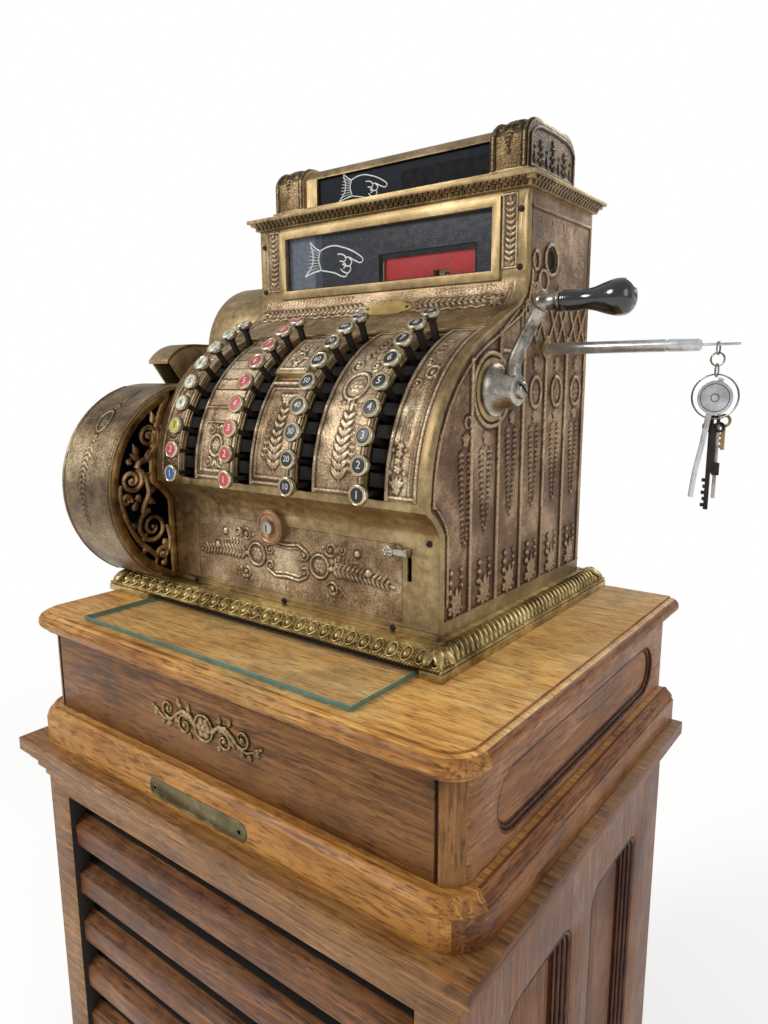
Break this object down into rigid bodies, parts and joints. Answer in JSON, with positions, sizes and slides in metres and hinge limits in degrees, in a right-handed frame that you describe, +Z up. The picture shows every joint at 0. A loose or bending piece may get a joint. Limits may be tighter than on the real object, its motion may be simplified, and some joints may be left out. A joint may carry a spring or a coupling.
{
  "type": "ticket register",
  "caption": "Floor-standing brass ticket register with curved banks of sprung keys, a side crank, a slip printer and sign windows, on an oak cash drawer and a slatted oak cabinet.",
  "frame": {"origin": "centre of the cabinet's footprint on the floor", "axes": "+Z up, -Y towards the person at the keys, +X to their right, where the crank is"},
  "size_m": [0.7843, 0.587, 1.6378],
  "materials": {
    "oak": "worn varnish",
    "oak_dark": "worn varnish, stained",
    "brass_cast": "cast relief, aged",
    "brass_dark": "oxidised",
    "nickel": "worn nickel plate",
    "steel_dark": "oiled, dark",
    "key_steel": "nickel over steel",
    "grip_black": "glossy black",
    "pane_glass": "old plate glass",
    "flash_red": "red enamel",
    "wheel_paint": "black paint with pale numerals"
  },
  "bodies": {
    "stand": {"cabinet_case": "oak", "cabinet_rails": "oak_dark", "drawer_case": "oak", "counter_top": "oak", "base_moulding": "brass_cast", "body_casing": "brass_cast", "key_cover": "brass_cast", "key_guides": "steel_dark", "top_hood": "brass_cast", "printer_cover": "brass_cast", "scroll_grille": "brass_dark", "glass_panes": "pane_glass", "brass_plates": "brass_cast"},
    "cash_drawer": {"cash_drawer": "oak_dark"},
    "chute_lid": {"chute_lid": "brass_dark"},
    "crank": {"crank_arm": "nickel"},
    "crank_grip": {"crank_grip": "grip_black"},
    "main_shaft": {"main_shaft": "steel_dark"},
    "indicator_wheels": {"indicator_wheels": "wheel_paint"},
    "indicator_flash": {"indicator_flash": "flash_red"},
    "release_rod": {"release_rod": "nickel"},
    "hanging_keys": {"hanging_keys": "nickel"},
    "front_lever": {"front_lever": "brass_cast"},
    "lock_barrel": {"lock_barrel": "nickel"},
    "key_11": {"key_11": "key_steel"},
    "key_12": {"key_12": "key_steel"},
    "key_13": {"key_13": "key_steel"},
    "key_14": {"key_14": "key_steel"},
    "key_15": {"key_15": "key_steel"},
    "key_16": {"key_16": "key_steel"},
    "key_17": {"key_17": "key_steel"},
    "key_18": {"key_18": "key_steel"},
    "key_19": {"key_19": "key_steel"},
    "key_21": {"key_21": "key_steel"},
    "key_22": {"key_22": "key_steel"},
    "key_23": {"key_23": "key_steel"},
    "key_24": {"key_24": "key_steel"},
    "key_25": {"key_25": "key_steel"},
    "key_26": {"key_26": "key_steel"},
    "key_27": {"key_27": "key_steel"},
    "key_28": {"key_28": "key_steel"},
    "key_29": {"key_29": "key_steel"},
    "key_31": {"key_31": "key_steel"},
    "key_32": {"key_32": "key_steel"},
    "key_33": {"key_33": "key_steel"},
    "key_34": {"key_34": "key_steel"},
    "key_35": {"key_35": "key_steel"},
    "key_36": {"key_36": "key_steel"},
    "key_37": {"key_37": "key_steel"},
    "key_38": {"key_38": "key_steel"},
    "key_39": {"key_39": "key_steel"},
    "key_41": {"key_41": "key_steel"},
    "key_42": {"key_42": "key_steel"},
    "key_43": {"key_43": "key_steel"},
    "key_44": {"key_44": "key_steel"},
    "key_45": {"key_45": "key_steel"},
    "key_46": {"key_46": "key_steel"},
    "key_47": {"key_47": "key_steel"},
    "key_48": {"key_48": "key_steel"},
    "key_49": {"key_49": "key_steel"}
  },
  "joints": [
    {"name": "cash_drawer_slide", "type": "slide", "parent": "stand", "child": "cash_drawer", "axis": [0, -1, 0], "range_m": [0, 0.3]},
    {"name": "chute_lid_hinge", "type": "hinge", "parent": "stand", "child": "chute_lid", "pos_m": [-0.303, 0.0323, 1.3889], "axis": [-1, 0, 0], "range_deg": [0, 70]},
    {"name": "crank_turn", "type": "hinge", "parent": "stand", "child": "crank", "pos_m": [0.236, -0.016, 1.327], "axis": [1, 0, 0], "continuous": true},
    {"name": "grip_turn", "type": "hinge", "parent": "crank", "child": "crank_grip", "pos_m": [0.32, -0.016, 1.417], "axis": [1, 0, 0], "continuous": true},
    {"name": "main_shaft_turn", "type": "hinge", "parent": "stand", "child": "main_shaft", "pos_m": [-0.014, 0.03292, 1.27417], "axis": [1, 0, 0], "continuous": true},
    {"name": "indicator_wheels_turn", "type": "hinge", "parent": "stand", "child": "indicator_wheels", "pos_m": [-0.014, 0.1255, 1.4805], "axis": [1, 0, 0], "range_deg": [-180, 180]},
    {"name": "indicator_flash_slide", "type": "slide", "parent": "stand", "child": "indicator_flash", "axis": [0, 0, 1], "range_m": [0, 0.034]},
    {"name": "front_lever_slide", "type": "slide", "parent": "stand", "child": "front_lever", "axis": [0, 0, -1], "range_m": [0, 0.027]},
    {"name": "lock_turn", "type": "hinge", "parent": "stand", "child": "lock_barrel", "pos_m": [-0.04, -0.117, 1.161], "axis": [0, 1, 0], "range_deg": [-90, 90]},
    {"name": "release_rod_slide", "type": "slide", "parent": "stand", "child": "release_rod", "axis": [-1, 0, 0], "range_m": [0, 0.012]},
    {"name": "hanging_keys_swing", "type": "hinge", "parent": "release_rod", "child": "hanging_keys", "pos_m": [0.404, 0.119, 1.375], "axis": [1, 0, 0], "range_deg": [-60, 60]},
    {"name": "key_11_press", "type": "slide", "parent": "stand", "child": "key_11", "axis": [0, 0.9992, -0.0401], "range_m": [0, 0.008], "stiffness_N_per_m": 150, "springref_m": -0.012},
    {"name": "key_12_press", "type": "slide", "parent": "stand", "child": "key_12", "axis": [0, 0.9835, -0.1809], "range_m": [0, 0.008], "stiffness_N_per_m": 150, "springref_m": -0.012},
    {"name": "key_13_press", "type": "slide", "parent": "stand", "child": "key_13", "axis": [0, 0.9481, -0.318], "range_m": [0, 0.008], "stiffness_N_per_m": 150, "springref_m": -0.012},
    {"name": "key_14_press", "type": "slide", "parent": "stand", "child": "key_14", "axis": [0, 0.8937, -0.4487], "range_m": [0, 0.008], "stiffness_N_per_m": 150, "springref_m": -0.012},
    {"name": "key_15_press", "type": "slide", "parent": "stand", "child": "key_15", "axis": [0, 0.8213, -0.5704], "range_m": [0, 0.008], "stiffness_N_per_m": 150, "springref_m": -0.012},
    {"name": "key_16_press", "type": "slide", "parent": "stand", "child": "key_16", "axis": [0, 0.7325, -0.6807], "range_m": [0, 0.008], "stiffness_N_per_m": 150, "springref_m": -0.012},
    {"name": "key_17_press", "type": "slide", "parent": "stand", "child": "key_17", "axis": [0, 0.629, -0.7774], "range_m": [0, 0.008], "stiffness_N_per_m": 150, "springref_m": -0.012},
    {"name": "key_18_press", "type": "slide", "parent": "stand", "child": "key_18", "axis": [0, 0.5129, -0.8584], "range_m": [0, 0.008], "stiffness_N_per_m": 150, "springref_m": -0.012},
    {"name": "key_19_press", "type": "slide", "parent": "stand", "child": "key_19", "axis": [0, 0.3866, -0.9223], "range_m": [0, 0.008], "stiffness_N_per_m": 150, "springref_m": -0.012},
    {"name": "key_21_press", "type": "slide", "parent": "stand", "child": "key_21", "axis": [0, 0.9992, -0.0401], "range_m": [0, 0.008], "stiffness_N_per_m": 150, "springref_m": -0.012},
    {"name": "key_22_press", "type": "slide", "parent": "stand", "child": "key_22", "axis": [0, 0.9835, -0.1809], "range_m": [0, 0.008], "stiffness_N_per_m": 150, "springref_m": -0.012},
    {"name": "key_23_press", "type": "slide", "parent": "stand", "child": "key_23", "axis": [0, 0.9481, -0.318], "range_m": [0, 0.008], "stiffness_N_per_m": 150, "springref_m": -0.012},
    {"name": "key_24_press", "type": "slide", "parent": "stand", "child": "key_24", "axis": [0, 0.8937, -0.4487], "range_m": [0, 0.008], "stiffness_N_per_m": 150, "springref_m": -0.012},
    {"name": "key_25_press", "type": "slide", "parent": "stand", "child": "key_25", "axis": [0, 0.8213, -0.5704], "range_m": [0, 0.008], "stiffness_N_per_m": 150, "springref_m": -0.012},
    {"name": "key_26_press", "type": "slide", "parent": "stand", "child": "key_26", "axis": [0, 0.7325, -0.6807], "range_m": [0, 0.008], "stiffness_N_per_m": 150, "springref_m": -0.012},
    {"name": "key_27_press", "type": "slide", "parent": "stand", "child": "key_27", "axis": [0, 0.629, -0.7774], "range_m": [0, 0.008], "stiffness_N_per_m": 150, "springref_m": -0.012},
    {"name": "key_28_press", "type": "slide", "parent": "stand", "child": "key_28", "axis": [0, 0.5129, -0.8584], "range_m": [0, 0.008], "stiffness_N_per_m": 150, "springref_m": -0.012},
    {"name": "key_29_press", "type": "slide", "parent": "stand", "child": "key_29", "axis": [0, 0.3866, -0.9223], "range_m": [0, 0.008], "stiffness_N_per_m": 150, "springref_m": -0.012},
    {"name": "key_31_press", "type": "slide", "parent": "stand", "child": "key_31", "axis": [0, 0.9992, -0.0401], "range_m": [0, 0.008], "stiffness_N_per_m": 150, "springref_m": -0.012},
    {"name": "key_32_press", "type": "slide", "parent": "stand", "child": "key_32", "axis": [0, 0.9835, -0.1809], "range_m": [0, 0.008], "stiffness_N_per_m": 150, "springref_m": -0.012},
    {"name": "key_33_press", "type": "slide", "parent": "stand", "child": "key_33", "axis": [0, 0.9481, -0.318], "range_m": [0, 0.008], "stiffness_N_per_m": 150, "springref_m": -0.012},
    {"name": "key_34_press", "type": "slide", "parent": "stand", "child": "key_34", "axis": [0, 0.8937, -0.4487], "range_m": [0, 0.008], "stiffness_N_per_m": 150, "springref_m": -0.012},
    {"name": "key_35_press", "type": "slide", "parent": "stand", "child": "key_35", "axis": [0, 0.8213, -0.5704], "range_m": [0, 0.008], "stiffness_N_per_m": 150, "springref_m": -0.012},
    {"name": "key_36_press", "type": "slide", "parent": "stand", "child": "key_36", "axis": [0, 0.7325, -0.6807], "range_m": [0, 0.008], "stiffness_N_per_m": 150, "springref_m": -0.012},
    {"name": "key_37_press", "type": "slide", "parent": "stand", "child": "key_37", "axis": [0, 0.629, -0.7774], "range_m": [0, 0.008], "stiffness_N_per_m": 150, "springref_m": -0.012},
    {"name": "key_38_press", "type": "slide", "parent": "stand", "child": "key_38", "axis": [0, 0.5129, -0.8584], "range_m": [0, 0.008], "stiffness_N_per_m": 150, "springref_m": -0.012},
    {"name": "key_39_press", "type": "slide", "parent": "stand", "child": "key_39", "axis": [0, 0.3866, -0.9223], "range_m": [0, 0.008], "stiffness_N_per_m": 150, "springref_m": -0.012},
    {"name": "key_41_press", "type": "slide", "parent": "stand", "child": "key_41", "axis": [0, 0.9992, -0.0401], "range_m": [0, 0.008], "stiffness_N_per_m": 150, "springref_m": -0.012},
    {"name": "key_42_press", "type": "slide", "parent": "stand", "child": "key_42", "axis": [0, 0.9835, -0.1809], "range_m": [0, 0.008], "stiffness_N_per_m": 150, "springref_m": -0.012},
    {"name": "key_43_press", "type": "slide", "parent": "stand", "child": "key_43", "axis": [0, 0.9481, -0.318], "range_m": [0, 0.008], "stiffness_N_per_m": 150, "springref_m": -0.012},
    {"name": "key_44_press", "type": "slide", "parent": "stand", "child": "key_44", "axis": [0, 0.8937, -0.4487], "range_m": [0, 0.008], "stiffness_N_per_m": 150, "springref_m": -0.012},
    {"name": "key_45_press", "type": "slide", "parent": "stand", "child": "key_45", "axis": [0, 0.8213, -0.5704], "range_m": [0, 0.008], "stiffness_N_per_m": 150, "springref_m": -0.012},
    {"name": "key_46_press", "type": "slide", "parent": "stand", "child": "key_46", "axis": [0, 0.7325, -0.6807], "range_m": [0, 0.008], "stiffness_N_per_m": 150, "springref_m": -0.012},
    {"name": "key_47_press", "type": "slide", "parent": "stand", "child": "key_47", "axis": [0, 0.629, -0.7774], "range_m": [0, 0.008], "stiffness_N_per_m": 150, "springref_m": -0.012},
    {"name": "key_48_press", "type": "slide", "parent": "stand", "child": "key_48", "axis": [0, 0.5129, -0.8584], "range_m": [0, 0.008], "stiffness_N_per_m": 150, "springref_m": -0.012},
    {"name": "key_49_press", "type": "slide", "parent": "stand", "child": "key_49", "axis": [0, 0.3866, -0.9223], "range_m": [0, 0.008], "stiffness_N_per_m": 150, "springref_m": -0.012}
  ],
  "couplings": [
    {"joint": "main_shaft_turn", "follows": "crank_turn", "ratio": -0.5}
  ]
}
